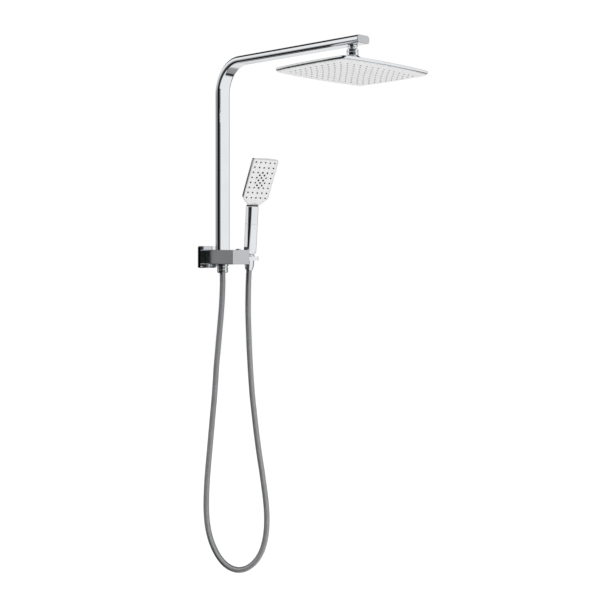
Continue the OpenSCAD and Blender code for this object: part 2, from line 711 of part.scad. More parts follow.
module shower_hose() color("lightslategray") {
    n = len(hose_points);
    rings = [for (i = [0:n - 1]) each route_ring(hose_points, i)];
    sides = [for (i = [0:n - 2], k = [0:hose_sides - 1]) let (a = i * hose_sides, m = (k + 1) % hose_sides)
        [a + k, a + m, a + m + hose_sides, a + k + hose_sides]];
    caps = [[for (k = [hose_sides - 1:-1:0]) k], [for (k = [0:hose_sides - 1]) (n - 1) * hose_sides + k]];
    polyhedron(points = rings, faces = concat(sides, caps), convexity = 6);
}

module cone_ferrule() color("silver") at_cone() translate([0, 0, cone_bottom]) crimp_end(ferrule_flange_z);

module cone_washer() color("black") at_cone()
    ring(thread_r - 0.2, handset_bore_r, flat_washer_t, thread_bottom - flat_washer_t - 2 * fit_gap);

module cone_nut() color("silver") at_cone() difference() {
    rotate_extrude() polygon([
        [0, cone_bottom], [cone_bottom_r, cone_bottom], [cone_mid_r, cone_mid], [cone_top_r, cone_top - 1],
        [cone_top_r - 0.8, cone_top], [0, cone_top]]);
    translate([0, 0, cone_bottom + ferrule_flange_z - 0.1]) cylinder(r = thread_r - 0.2, h = 6);
    translate([0, 0, thread_bottom - 1.8]) cylinder(r = thread_r + fit_gap, h = 40);
    translate([0, 0, cone_bottom - cut]) cylinder(r = ferrule_r + 0.1, h = ferrule_flange_z + cut);
}

// ---------- handset holder ----------

module holder_slab() translate([0, 0, holder_top - holder_t]) linear_extrude(holder_t) {
    translate([block_w / 2, -holder_reach - holder_r]) square([holder_x - block_w / 2, 2 * holder_r]);
    translate([holder_x, -holder_reach]) rounded(2 * holder_r, 2 * holder_r, 6);
}

// The cone's side carried on up and down, wider by the given gap
module cone_space(gap) at_cone() {
    slope = (cone_top_r - cone_mid_r) / (cone_top - 1 - cone_mid);
    translate([0, 0, cone_mid]) cylinder(r1 = cone_mid_r + gap, r2 = cone_mid_r + gap + slope * 50, h = 50);
}

module holder_slot(extra) at_holder() translate([0, -hose_r - extra, -50])
    cube([60, 2 * (hose_r + extra), 100]);

module holder_plate() color("silver") difference() {
    union() {
        holder_slab();
        translate([block_w / 2, -holder_reach - holder_r, holder_screw_z[0] - 4.5])
            cube([3, 2 * holder_r, holder_screw_z[1] - holder_screw_z[0] + 9]);
    }
    cone_space(cone_gap + liner_t + 0.05);
    holder_slot(0.6);
    for (z = holder_screw_z) translate([block_w / 2 + 3.01, -holder_reach, z]) rotate([0, 90, 0]) {
        translate([0, 0, -10]) cylinder(r = 2.1, h = 12);
        translate([0, 0, -2.1]) cylinder(r1 = 2.1, r2 = 4.2, h = 2.11);
    }
}

module holder_liner() color("whitesmoke") difference() {
    intersection() {
        cone_space(cone_gap + liner_t);
        translate([0, -2 * holder_reach, holder_top - holder_t])
            cube([2 * holder_x, 2 * holder_reach, holder_t]);
    }
    cone_space(cone_gap);
    holder_slot(0.6);
}

module holder_screws() color("dimgray") for (z = holder_screw_z)
    translate([block_w / 2 + 3, -holder_reach, z]) rotate([0, 90, 0]) difference() {
        countersunk(1.95, 11, 4);
        hex_socket(2.5, 1.6);
    }

// ---------- handset ----------

module handle_slab(inset, z) translate([0, 0, z]) linear_extrude(0.1)
    offset(delta = -inset) rounded(handle_w, handle_d, handle_r);

module handset_handle() color("silver") at_handset() difference() {
    union() {
        translate([0, 0, handle_full]) linear_extrude(neck_z - handle_full)
            rounded(handle_w, handle_d, handle_r);
        hull() {
            handle_slab(0, handle_full);
            handle_slab(0.7, handle_full - 3);
            handle_slab(2, handle_full - 5.6);
            translate([0, 0, handle_bottom]) cylinder(r = 9, h = 0.2, $fn = 32);
        }
    }
    translate([0, 0, handle_full + 1]) linear_extrude(neck_z)
        rounded(handle_w - 2 * shell_wall, handle_d - 2 * shell_wall, handle_r - shell_wall);
    translate([0, 0, -handle_full]) cylinder(r = handle_bore_r, h = 2 * handle_full + 5);
}

module handset_thread() color("silver") at_handset() difference() {
    union() {
        translate([0, 0, thread_bottom]) cylinder(r = thread_r, h = cone_top - thread_bottom - 1);
        translate([0, 0, cone_top - 2]) cylinder(r = handle_bore_r - fit_gap, h = handle_full + 8 - cone_top);
    }
    translate([0, 0, thread_bottom - cut]) cylinder(r = handset_bore_r, h = 60);
}

module handset_tube() color("whitesmoke") at_handset() {
    ring(handset_bore_r - fit_gap, handset_bore_r - 1.3, neck_z - handle_full + 5, handle_full - 6);
    ring(handset_bore_r + 1.2, handset_bore_r - 0.6, 3, neck_z - 6);
}

module neck_trim() color("black") at_handset() translate([0, 0, neck_z]) linear_extrude(trim_h)
    tube_section(handle_w - 1, handle_d - 1, handle_r - 0.5, 3.4);

// Outline of the spray head: full width, a taper to the neck and soft corners
module spray_outline(inset) {
    half = spray_w / 2;
    top = spray_taper + spray_len;
    neck = handle_w / 2 - 1;
    offset(r = 5, $fn = 32) offset(delta = -5 - inset)
        polygon([
            [-neck, -1], [neck, -1], [half, spray_taper], [half, top - 1.5], [half / 2, top - 0.4],
            [0, top], [-half / 2, top - 0.4], [-half, top - 1.5], [-half, spray_taper]]);
}

module spray_back_shell() color("silver") at_spray() difference() {
    hull() {
        translate([0, 0, -4]) linear_extrude(4) spray_outline(0);
        translate([0, 0, -spray_t + 3]) linear_extrude(0.1) spray_outline(2.5);
        translate([0, 0, -spray_t]) linear_extrude(0.1) spray_outline(8);
    }
    hull() {
        translate([0, 0, -4]) linear_extrude(4 + cut) spray_outline(shell_wall);
        translate([0, 0, -spray_t + 4]) linear_extrude(0.1) spray_outline(2.5 + shell_wall);
        translate([0, 0, -spray_t + shell_wall]) linear_extrude(0.1) spray_outline(8 + shell_wall);
    }
    translate([0, spray_button_at, -2 * spray_t]) cylinder(r = spray_button_r + 0.3, h = 2 * spray_t);
    neck_clearance();
}

// Room for the handle, its trim and the water tube at the foot of the spray head
module neck_clearance() rotate([-90, 0, 0]) rotate([-spray_tilt, 0, 0]) translate([0, spray_back, -neck_cut])
    linear_extrude(neck_cut + trim_h + 0.1) square([handle_w + 4, handle_d + neck_cut], center = true);

module spray_face_plate() color("white") at_spray() difference() {
    translate([0, 0, -2]) linear_extrude(2.6) spray_outline(spray_rim);
    translate([0, 0, -3]) each_spray_nozzle() cylinder(r = 1.8, h = 6, $fn = 24);
    translate([0, 0, -3]) each_jet() cylinder(r = 2.2, h = 6, $fn = 24);
    neck_clearance();
}

function is_centre(i, j) = i == 2 && j >= 2 && j <= 5;
module each_spray_nozzle() for (i = [0:spray_cols - 1], j = [0:spray_rows - 1]) if (!is_centre(i, j))
    translate([(i - 2) * spray_pitch, spray_mid + (j - 3.5) * spray_pitch, 0]) children();
module each_jet() {
    for (j = [-1.5:1:1.5]) translate([0, spray_mid + j * spray_pitch, 0]) children();
    for (j = [-1:1], side = [-1, 1])
        translate([side * spray_pitch / 2, spray_mid + j * spray_pitch, 0]) children();
}

module spray_nozzle_mat() color("dimgray") at_spray() {
    difference() {
        translate([0, 0, -3.3]) linear_extrude(1.3) spray_outline(spray_rim + 0.6);
        translate([0, 0, -5]) each_jet() cylinder(r = 2.3, h = 6, $fn = 24);
        neck_clearance();
    }
    translate([0, 0, -2.2]) each_spray_nozzle() cylinder(r1 = 1.6, r2 = 1.05, h = 3.6, $fn = 16);
}

module spray_jet_insert() color("black") at_spray() {
    translate([0, spray_mid, -5]) linear_extrude(1.6) rounded(2.2 * spray_pitch, 4.2 * spray_pitch, 4);
    translate([0, 0, -3.6]) each_jet() cylinder(r1 = 2.1, r2 = 1.7, h = 4.8, $fn = 16);
}

module spray_seal() color("dimgray") at_spray() difference() {
    translate([0, 0, -4.5]) linear_extrude(1.1) spray_outline(spray_rim + 0.9);
    translate([0, 0, -6]) linear_extrude(4) spray_outline(spray_rim + 3.4);
    neck_clearance();
}

module spray_screws() color("dimgray") at_spray() for (x = [-1, 1], y = [14, spray_len - 8])
    translate([x * (spray_w / 2 - 9), spray_taper + y, -7.2]) difference() {
        union() {
            cylinder(r = 1.2, h = 3.7);
            cylinder(r = 2.2, h = 1.4);
        }
        rotate([180, 0, 0]) hex_socket(1.3, 0.7);
    }

module spray_button() color("silver") at_spray() translate([0, spray_button_at, 0]) rotate([180, 0, 0]) {
    translate([0, 0, spray_t - spray_button_sunk])
        cylinder(r = spray_button_r, h = spray_button_sunk + spray_button_proud - 0.8);
    translate([0, 0, spray_t + spray_button_proud - 0.8])
        cylinder(r1 = spray_button_r, r2 = spray_button_r - 1, h = 0.8);
}

module spray_button_spring() color("gray") at_spray() translate([0, spray_button_at, 0]) rotate([180, 0, 0])
    ring(4, 3.2, spray_t - 4 - 5.2, 5.15);

wall_plate();
wall_bracket();
bracket_screws();
plate_seal();
plate_grub_screw();
inlet_washer();
inlet_filter();
diverter_block();
diverter_gland();
diverter_button();
diverter_spool();
spool_o_rings();
diverter_spring();
riser_pipe();
pipe_spigot();
spigot_o_rings();
spigot_grub_screw();
arm_end_cap();
arm_insert();
stem_washer();
ball_stem();
ball_liner();
ball_cup();
swivel_nut();
head_collar();
ball_seal();
flow_disc();
head_top_shell();
head_face_plate();
head_nozzle_mat();
head_water_plate();
head_gasket();
head_screws();
outlet_nipple();
check_valve();
hose_nut();
hose_washer();
hose_ferrule();
shower_hose();
cone_ferrule();
cone_washer();
cone_nut();
holder_plate();
holder_liner();
holder_screws();
handset_handle();
handset_thread();
handset_tube();
neck_trim();
spray_back_shell();
spray_face_plate();
spray_nozzle_mat();
spray_jet_insert();
spray_seal();
spray_screws();
spray_button();
spray_button_spring();
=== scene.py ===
# Rainfall shower column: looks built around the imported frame. Metres, +Z up, -Y into the room.
import json
import math

import bmesh
import bpy
from mathutils import Matrix, Vector

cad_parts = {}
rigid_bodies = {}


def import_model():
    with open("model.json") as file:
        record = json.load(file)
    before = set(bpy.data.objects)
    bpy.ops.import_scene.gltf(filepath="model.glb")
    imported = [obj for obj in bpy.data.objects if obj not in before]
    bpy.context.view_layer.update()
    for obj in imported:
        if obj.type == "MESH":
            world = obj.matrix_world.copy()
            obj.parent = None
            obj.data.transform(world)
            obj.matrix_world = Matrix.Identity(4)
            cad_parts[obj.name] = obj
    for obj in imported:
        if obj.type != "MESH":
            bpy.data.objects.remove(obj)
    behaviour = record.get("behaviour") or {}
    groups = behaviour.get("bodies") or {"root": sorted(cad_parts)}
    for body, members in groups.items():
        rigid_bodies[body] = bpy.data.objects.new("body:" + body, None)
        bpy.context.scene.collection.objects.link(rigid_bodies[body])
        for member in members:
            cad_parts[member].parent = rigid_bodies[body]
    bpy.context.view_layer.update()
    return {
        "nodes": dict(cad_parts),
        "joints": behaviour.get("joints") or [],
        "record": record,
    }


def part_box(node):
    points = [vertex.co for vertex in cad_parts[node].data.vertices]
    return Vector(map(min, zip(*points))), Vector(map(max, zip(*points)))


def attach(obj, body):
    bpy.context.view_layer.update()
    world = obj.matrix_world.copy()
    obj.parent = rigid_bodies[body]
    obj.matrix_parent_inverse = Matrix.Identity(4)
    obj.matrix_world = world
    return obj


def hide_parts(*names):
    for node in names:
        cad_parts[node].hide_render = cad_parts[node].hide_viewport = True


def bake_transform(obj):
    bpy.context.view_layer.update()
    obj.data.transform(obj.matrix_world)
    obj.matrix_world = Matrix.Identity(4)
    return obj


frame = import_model()
mm = 0.001
joints = {joint["name"]: joint for joint in frame["joints"]}
ballCentre = Vector(joints["head_tilt"]["pos_m"])
handsetFoot = Vector(joints["handset_turn"]["pos_m"])
handsetAxis = Vector(joints["handset_turn"]["axis"])
print("frame loaded:", len(frame["nodes"]), "nodes")

# ---- camera: level, a little above the inlet, shifted down to take in the hanging hose ----
cameraView = {"place": (-1.5644, -1.9132, 0.012), "turn": -44.33, "lens": 60.98, "shiftY": -0.0796}


def addCamera(view):
    bpy.ops.object.camera_add(location=view["place"])
    camera = bpy.context.object
    camera.name = "viewCamera"
    camera.rotation_euler = (math.radians(90), 0, math.radians(view["turn"]))
    camera.data.lens = view["lens"]
    camera.data.sensor_width = 36
    camera.data.shift_y = view["shiftY"]
    camera.data.clip_end = 50
    bpy.context.scene.camera = camera


addCamera(cameraView)


# ---- modelling helpers ----
def clearSelection():
    if bpy.context.mode != "OBJECT":
        bpy.ops.object.mode_set(mode="OBJECT")
    bpy.ops.object.select_all(action="DESELECT")


def activate(piece):
    clearSelection()
    piece.select_set(True)
    bpy.context.view_layer.objects.active = piece


def editAll(piece):
    activate(piece)
    bpy.ops.object.mode_set(mode="EDIT")
    bpy.ops.mesh.select_mode(type="VERT")
    bpy.ops.mesh.select_all(action="SELECT")


def pick(piece, kind, test):
    # selects the vertices, edges or faces of a piece in edit mode that pass a test
    bpy.ops.mesh.select_mode(type=kind)
    bpy.ops.mesh.select_all(action="DESELECT")
    shape = bmesh.from_edit_mesh(piece.data)
    for item in {"VERT": shape.verts, "EDGE": shape.edges, "FACE": shape.faces}[kind]:
        if test(item):
            item.select_set(True)
    shape.select_flush_mode()
    bmesh.update_edit_mesh(piece.data)


def middle(edge):
    return (edge.verts[0].co + edge.verts[1].co) / 2


def applyModifier(piece, kind, **settings):
    activate(piece)
    modifier = piece.modifiers.new(kind.lower(), kind)
    for name, value in settings.items():
        setattr(modifier, name, value)
    bpy.ops.object.modifier_apply(modifier=modifier.name)


def cutAway(piece, cutter):
    applyModifier(piece, "BOOLEAN", object=cutter, operation="DIFFERENCE", solver="EXACT")
    bpy.data.objects.remove(cutter)


def extrudeBy(distance, direction=(0, 0, 1)):
    step = Vector(direction) * distance
    bpy.ops.mesh.extrude_region_move(TRANSFORM_OT_translate={"value": tuple(step)})


def roundedBar(name, width, depth, corner, low, high, steps=8):
    # a bar along Z with a rounded rectangular section
    clearSelection()
    bpy.ops.mesh.primitive_plane_add(size=1, location=(0, 0, low))
    piece = bpy.context.object
    piece.name = name
    piece.scale = (width, depth, 1)
    bpy.ops.object.transform_apply(location=True, rotation=False, scale=True)
    editAll(piece)
    bpy.ops.mesh.bevel(offset=corner, segments=steps, affect="VERTICES")
    bpy.ops.mesh.select_all(action="SELECT")
    extrudeBy(high - low)
    return piece


def turned(name, profile, sides=72, hollow=False):
    # a turned part: rings of (radius, height), each extruded and scaled from the last
    radius, height = profile[0]
    clearSelection()
    fill = "NOTHING" if hollow else "NGON"
    bpy.ops.mesh.primitive_circle_add(vertices=sides, radius=radius, location=(0, 0, height), fill_type=fill)
    piece = bpy.context.object
    piece.name = name
    bpy.ops.object.transform_apply(location=True)
    editAll(piece)
    for nextRadius, nextHeight in profile[1:] + (profile[:1] if hollow else []):
        extrudeBy(nextHeight - height)
        ratio = nextRadius / radius
        bpy.ops.transform.resize(value=(ratio, ratio, 1), center_override=(0, 0, nextHeight))
        radius, height = nextRadius, nextHeight
    return piece


def ringKey(point):
    return tuple(round(value, 6) for value in point)


def lofted(name, rings, closed=True):
    # a skin over rings with the same number of points, each extruded from the last
    clearSelection()
    fill = "NGON" if closed else "NOTHING"
    bpy.ops.mesh.primitive_circle_add(vertices=len(rings[0]), fill_type=fill)
    piece = bpy.context.object
    piece.name = name
    for corner, point in zip(piece.data.vertices, rings[0]):
        corner.co = point
    editAll(piece)
    for last, ring in zip(rings, rings[1:]):
        goal = {ringKey(old): new for old, new in zip(last, ring)}
        bpy.ops.mesh.extrude_region_move()
        shape = bmesh.from_edit_mesh(piece.data)
        for corner in shape.verts:
            if corner.select:
                corner.co = goal[ringKey(corner.co)]
        bmesh.update_edit_mesh(piece.data)
    return piece


def bevelledCopy(name, node, width, test=lambda edge: True, steps=3):
    # a CAD node's shape with its sharp edges eased
    source = frame["nodes"][node]
    piece = bpy.data.objects.new(name, source.data.copy())
    bpy.context.scene.collection.objects.link(piece)
    editAll(piece)
    bpy.ops.mesh.remove_doubles(threshold=2e-6)
    bpy.ops.mesh.dissolve_limited(angle_limit=math.radians(0.6))
    pick(piece, "EDGE",
         lambda edge: len(edge.link_faces) == 2 and edge.calc_face_angle(0) > 0.6 and test(edge))
    bpy.ops.mesh.bevel(offset=width, segments=steps, clamp_overlap=True)
    return piece


def joinAll(name, copies):
    clearSelection()
    for piece in copies:
        piece.select_set(True)
    bpy.context.view_layer.objects.active = copies[0]
    bpy.ops.object.join()
    copies[0].name = name
    return copies[0]


def repeat(name, model, places):
    copies = []
    for place in places:
        piece = model.copy()
        piece.data = model.data.copy()
        bpy.context.scene.collection.objects.link(piece)
        piece.matrix_world = place @ model.matrix_world
        copies.append(piece)
    bpy.data.objects.remove(model)
    return joinAll(name, copies)


def settle(piece, body, slotName, stands=(), place=None, edge=0, smooth=35, merge=2e-6):
    # puts a finished shape in its place and hands it to the frame
    clearSelection()
    if place is not None:
        piece.matrix_world = place @ piece.matrix_world
    activate(piece)
    bpy.ops.object.transform_apply(location=True, rotation=True, scale=True)
    editAll(piece)
    bpy.ops.mesh.remove_doubles(threshold=merge)
    bpy.ops.mesh.normals_make_consistent(inside=False)
    clearSelection()
    if edge:
        applyModifier(piece, "BEVEL", width=edge, segments=3, limit_method="ANGLE",
                      angle_limit=math.radians(40))
    activate(piece)
    bpy.ops.object.shade_smooth_by_angle(angle=math.radians(smooth))
    applyModifier(piece, "WEIGHTED_NORMAL", keep_sharp=True)
    piece.data.materials.clear()
    piece.data.materials.append(finishes[slotName])
    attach(piece, body)
    if stands:
        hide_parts(*stands)
    return piece


# ---- finishes ----
def fromHex(text):
    parts = [int(text[i:i + 2], 16) / 255 for i in (1, 3, 5)]
    return [p / 12.92 if p <= 0.04045 else ((p + 0.055) / 1.055) ** 2.4 for p in parts] + [1]


def addNode(tree, kind, settings=None, links=None):
    node = tree.nodes.new(kind)
    for name, value in (settings or {}).items():
        if name in node.inputs:
            node.inputs[name].default_value = value
        else:
            setattr(node, name, value)
    for name, source in (links or {}).items():
        tree.links.new(source, node.inputs[name])
    return node


def newFinish(name, **shaderSettings):
    material = bpy.data.materials.new(name)
    material.use_nodes = True
    tree = material.node_tree
    shader = tree.nodes["Principled BSDF"]
    for socket, value in shaderSettings.items():
        shader.inputs[socket.replace("_", " ")].default_value = value
    place = addNode(tree, "ShaderNodeTexCoord").outputs["Object"]
    return material, tree, shader, place


def spread(tree, source, low, high):
    # brings a 0 to 1 pattern between two values
    node = addNode(tree, "ShaderNodeMapRange", {"To Min": low, "To Max": high}, {"Value": source})
    return node.outputs["Result"]


def blendColours(tree, amount, low, high):
    ramp = addNode(tree, "ShaderNodeValToRGB", links={"Fac": amount})
    ramp.color_ramp.elements[0].color = fromHex(low)
    ramp.color_ramp.elements[1].color = fromHex(high)
    return ramp.outputs["Color"]


def roughen(tree, shader, height, strength, distance):
    bump = addNode(tree, "ShaderNodeBump", {"Strength": strength, "Distance": distance}, {"Height": height})
    tree.links.new(bump.outputs["Normal"], shader.inputs["Normal"])


def chromePlate(name, light, dark, smoothest, dullest, wave):
    # chrome over brass: mirror bright, with faint drying marks and the long wave of the polished casting
    material, tree, shader, place = newFinish(name, Metallic=1.0)
    marks = addNode(tree, "ShaderNodeTexNoise", {"Scale": 1 / (22 * mm), "Detail": 5.0}, {"Vector": place})
    film = addNode(tree, "ShaderNodeTexNoise", {"Scale": 1 / (60 * mm), "Detail": 2.0}, {"Vector": place})
    tree.links.new(spread(tree, marks.outputs["Fac"], smoothest, dullest), shader.inputs["Roughness"])
    tree.links.new(blendColours(tree, film.outputs["Fac"], dark, light), shader.inputs["Base Color"])
    roughen(tree, shader, film.outputs["Fac"], wave, 0.2 * mm)
    return material


def brushedSteel(name, grain):
    # rolled or turned stainless steel: fine lines one way, a little duller across them
    material, tree, shader, place = newFinish(name, Metallic=1.0)
    stretch = addNode(tree, "ShaderNodeMapping", {"Scale": (1, 1, 12)}, {"Vector": place})
    lines = addNode(tree, "ShaderNodeTexNoise", {"Scale": 1 / grain, "Detail": 3.0},
                    {"Vector": stretch.outputs["Vector"]})
    tree.links.new(blendColours(tree, lines.outputs["Fac"], "#a3a5a8", "#cccdcf"),
                   shader.inputs["Base Color"])
    tree.links.new(spread(tree, lines.outputs["Fac"], 0.18, 0.34), shader.inputs["Roughness"])
    roughen(tree, shader, lines.outputs["Fac"], 0.15, 0.03 * mm)
    return material


def machinedBrass(name):
    # turned brass: warm, with tool lines and slight tarnish
    material, tree, shader, place = newFinish(name, Metallic=1.0)
    lines = addNode(tree, "ShaderNodeTexNoise", {"Scale": 1 / (0.8 * mm), "Detail": 2.0}, {"Vector": place})
    stain = addNode(tree, "ShaderNodeTexNoise", {"Scale": 1 / (9 * mm), "Detail": 4.0}, {"Vector": place})
    tree.links.new(blendColours(tree, stain.outputs["Fac"], "#a9823c", "#dcb869"),
                   shader.inputs["Base Color"])
    tree.links.new(spread(tree, lines.outputs["Fac"], 0.2, 0.38), shader.inputs["Roughness"])
    return material


def moulded(name, low, high, roughness, grain, strength, index=1.46, **more):
    # a moulded surface: near-even colour, with the fine texture that its mould left
    material, tree, shader, place = newFinish(name, IOR=index, **more)
    tone = addNode(tree, "ShaderNodeTexNoise", {"Scale": 1 / (14 * mm), "Detail": 3.0}, {"Vector": place})
    skin = addNode(tree, "ShaderNodeTexNoise", {"Scale": 1 / grain, "Detail": 2.0}, {"Vector": place})
    tree.links.new(blendColours(tree, tone.outputs["Fac"], low, high), shader.inputs["Base Color"])
    tree.links.new(spread(tree, skin.outputs["Fac"], roughness * 0.8, roughness * 1.25),
                   shader.inputs["Roughness"])
    roughen(tree, shader, skin.outputs["Fac"], strength, 0.05 * mm)
    return material


finishes = {
    "chrome": chromePlate("brightChrome", "#f2f4f6", "#e6e9ec", 0.02, 0.06, 0.05),
    "steel": brushedSteel("stainlessSteel", 0.6 * mm),
    "steel_hose": brushedSteel("interlockedSteel", 0.9 * mm),
    "brass": machinedBrass("turnedBrass"),
    "rubber": moulded("nitrileRubber", "#141414", "#1e1e1e", 0.6, 0.5 * mm, 0.2, 1.52),
    "fibre": moulded("pressedFibre", "#2b211c", "#392c25", 0.8, 0.7 * mm, 0.5),
    "white_plastic": moulded("satinAbs", "#e4e4e5", "#ebebeb", 0.3, 3 * mm, 0.04, 1.54),
    "nylon": moulded("acetal", "#dedbd0", "#ece9df", 0.4, 0.6 * mm, 0.1, 1.48),
    "grey_silicone": moulded("greySilicone", "#252628", "#303133", 0.6, 0.5 * mm, 0.15, 1.41),
    "black_plastic": moulded("blackAbs", "#0b0b0c", "#141415", 0.25, 0.8 * mm, 0.05, 1.54),
    "blue_plastic": moulded("bluePolypropylene", "#1c3f8f", "#2b55ab", 0.35, 0.6 * mm, 0.1, 1.49),
}
satinChrome = chromePlate("satinChrome", "#c9cbcd", "#bfc1c3", 0.14, 0.22, 0.02)
for entry in frame["record"]["subparts"]:
    node = frame["nodes"][entry["node"]]
    node.data.materials.clear()
    node.data.materials.append(finishes[entry["material_slot"]])
print("finishes ready:", len(finishes) + 1)

# ---- the hose: 14 mm interlocked steel, hanging in one loop between the outlet and the conical nut ----
hose = {
    "diameter": 14 * mm, "pitch": 4.5 * mm, "groove": 1.1 * mm, "sides": 20, "ringsPerPitch": 8,
    # distance towards the conical nut and height, in millimetres
    "route": [
        (0, -45), (0, -65), (-1, -95), (-3, -128), (-6, -162), (-9, -196), (-12, -230), (-15, -264),
        (-17, -298), (-19.5, -332), (-22.5, -366), (-25.5, -400), (-28.5, -434), (-31.5, -468),
        (-34.5, -502), (-37, -536), (-38.5, -570), (-38.5, -602), (-36, -634), (-30, -664), (-20, -692),
        (-6, -717), (12, -736), (34, -746), (56, -744), (76, -731), (91, -710), (100, -685),
        (105, -655), (106, -620), (103.5, -584), (99, -548), (94, -512), (88.5, -476), (83.5, -440),
        (79, -404), (75, -368), (71, -330), (68, -290), (65.5, -250), (63.5, -210), (62, -170),
        (60.8, -130), (61, -90), (61.8, -60),
    ],
    "still": (7.65, -45), "lifted": (50.4, -37.7),
}


def middleOf(node):
    low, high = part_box(node)
    return (low + high) / 2


def smoothPath(points, spacing):
    # an even walk along a curve through the points
    fine = []
    padded = [points[0] * 2 - points[1]] + points + [points[-1] * 2 - points[-2]]
    for a, b, c, d in zip(padded, padded[1:], padded[2:], padded[3:]):
        for step in range(24):
            t = step / 24
            fine.append(0.5 * (2 * b + (c - a) * t + (2 * a - 5 * b + 4 * c - d) * t * t
                               + (3 * b - 3 * c + d - a) * t ** 3))
    fine.append(points[-1])
    lengths = [0]
    for a, b in zip(fine, fine[1:]):
        lengths.append(lengths[-1] + (b - a).length)
    count = round(lengths[-1] / spacing)
    path, i = [], 0
    for k in range(count + 1):
        goal = lengths[-1] * k / count
        while i < len(fine) - 2 and lengths[i + 1] < goal:
            i += 1
        share = (goal - lengths[i]) / (lengths[i + 1] - lengths[i])
        path.append(fine[i].lerp(fine[i + 1], share))
    return path, lengths[-1]


outletFoot = middleOf("hose_ferrule")
outletFoot.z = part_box("hose_ferrule")[0].z
coneFoot = handsetFoot - handsetAxis * 31 * mm
towardsNut = Vector((coneFoot.x - outletFoot.x, coneFoot.y - outletFoot.y, 0)).normalized()


def hosePoint(along, height):
    return Vector((outletFoot.x, outletFoot.y, height * mm)) + towardsNut * along * mm


def strandRadius(phase):
    # the section of one turn of strip: a broad rounded crown and a narrow groove
    turn = phase % 1
    crown = math.sin(math.pi * min(turn / 0.8, 1)) ** 0.35
    return hose["diameter"] / 2 - hose["groove"] * (1 - crown)


def addHose():
    route = [outletFoot] + [hosePoint(*point) for point in hose["route"]] + [coneFoot]
    path, length = smoothPath(route, hose["pitch"] / hose["ringsPerPitch"])
    sides, count = hose["sides"], len(path)
    across = Vector((-towardsNut.y, towardsNut.x, 0))
    corners, faces = [], []
    for i, point in enumerate(path):
        ahead = (path[min(i + 1, count - 1)] - path[max(i - 1, 0)]).normalized()
        if i == count - 1:
            ahead = handsetAxis
        up = ahead.cross(across).normalized()
        side = up.cross(ahead)
        for k in range(sides):
            angle = 2 * math.pi * k / sides
            radius = strandRadius(i / hose["ringsPerPitch"] + k / sides)
            corners.append(point + radius * (math.cos(angle) * side + math.sin(angle) * up))
    for i in range(count - 1):
        for k in range(sides):
            a, b = i * sides + k, i * sides + (k + 1) % sides
            faces.append((a, a + sides, b + sides, b))
    faces += [tuple(range(sides)), tuple((count - 1) * sides + k for k in reversed(range(sides)))]
    mesh = bpy.data.meshes.new("steelHose")
    mesh.from_pydata([tuple(c) for c in corners], [], faces)
    piece = bpy.data.objects.new("steelHose", mesh)
    bpy.context.scene.collection.objects.link(piece)
    editAll(piece)
    bpy.ops.mesh.normals_make_consistent(inside=False)
    activate(piece)
    bpy.ops.object.shade_smooth_by_angle(angle=math.radians(50))
    mesh.materials.append(finishes["steel_hose"])
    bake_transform(piece)
    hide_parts("shower_hose")
    print("hose ready: length", round(length, 4))


addHose()

# ---- wall plate and block ----
blockEdges = {"plate": 0.7 * mm, "block": 0.7 * mm, "plateFront": -10.9 * mm, "square": 1.2,
              "touch": 0.01 * mm}


def addWallEnd():
    plate = bevelledCopy("coverPlate", "wall_plate", blockEdges["plate"],
                         lambda edge: middle(edge).y < blockEdges["plateFront"]
                         or edge.calc_face_angle(0) > blockEdges["square"])
    settle(plate, "root", "chrome", ["wall_plate"])
    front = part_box("diverter_block")[0].y
    block = bevelledCopy("valveBlock", "diverter_block", blockEdges["block"],
                         lambda edge: middle(edge).y < front + blockEdges["touch"])
    settle(block, "root", "chrome", ["diverter_block"])
    block.data.materials[0] = satinChrome


addWallEnd()
print("wall end ready")

# ---- riser: one flat tube, up, round the bend and out along the arm ----
riser = {"width": 36 * mm, "depth": 16.5 * mm, "corner": 6 * mm, "reach": 43 * mm, "foot": 17 * mm,
         "bendHeight": 387 * mm, "bendRadius": 71.5 * mm, "drop": 1.1, "bendSteps": 72,
         "armLength": 377.65 * mm}


def addRiser():
    bendCentre = Vector((0, -riser["reach"] - riser["bendRadius"], riser["bendHeight"]))
    tube = roundedBar("bentTube", riser["width"], riser["depth"], riser["corner"], riser["foot"],
                      riser["bendHeight"], 10)
    clearSelection()
    tube.location = (0, -riser["reach"], 0)
    activate(tube)
    bpy.ops.object.transform_apply(location=True)
    editAll(tube)
    pick(tube, "FACE", lambda face: face.normal.z > 0.9 and face.calc_center_median().z > 0.1)
    turn = math.radians(90 + riser["drop"])
    bpy.ops.mesh.spin(steps=riser["bendSteps"], angle=-turn, center=bendCentre, axis=(1, 0, 0))
    along = Vector((0, -math.cos(math.radians(riser["drop"])), -math.sin(math.radians(riser["drop"]))))
    armStart = bendCentre + Vector((0, along.z, -along.y)) * riser["bendRadius"]
    armEnd = armStart + along * riser["armLength"]
    extrudeBy(riser["armLength"], along)
    settle(tube, "root", "chrome", ["riser_pipe"], smooth=30)
    return armEnd


armEnd = addRiser()
print("riser ready", [round(v, 4) for v in armEnd])

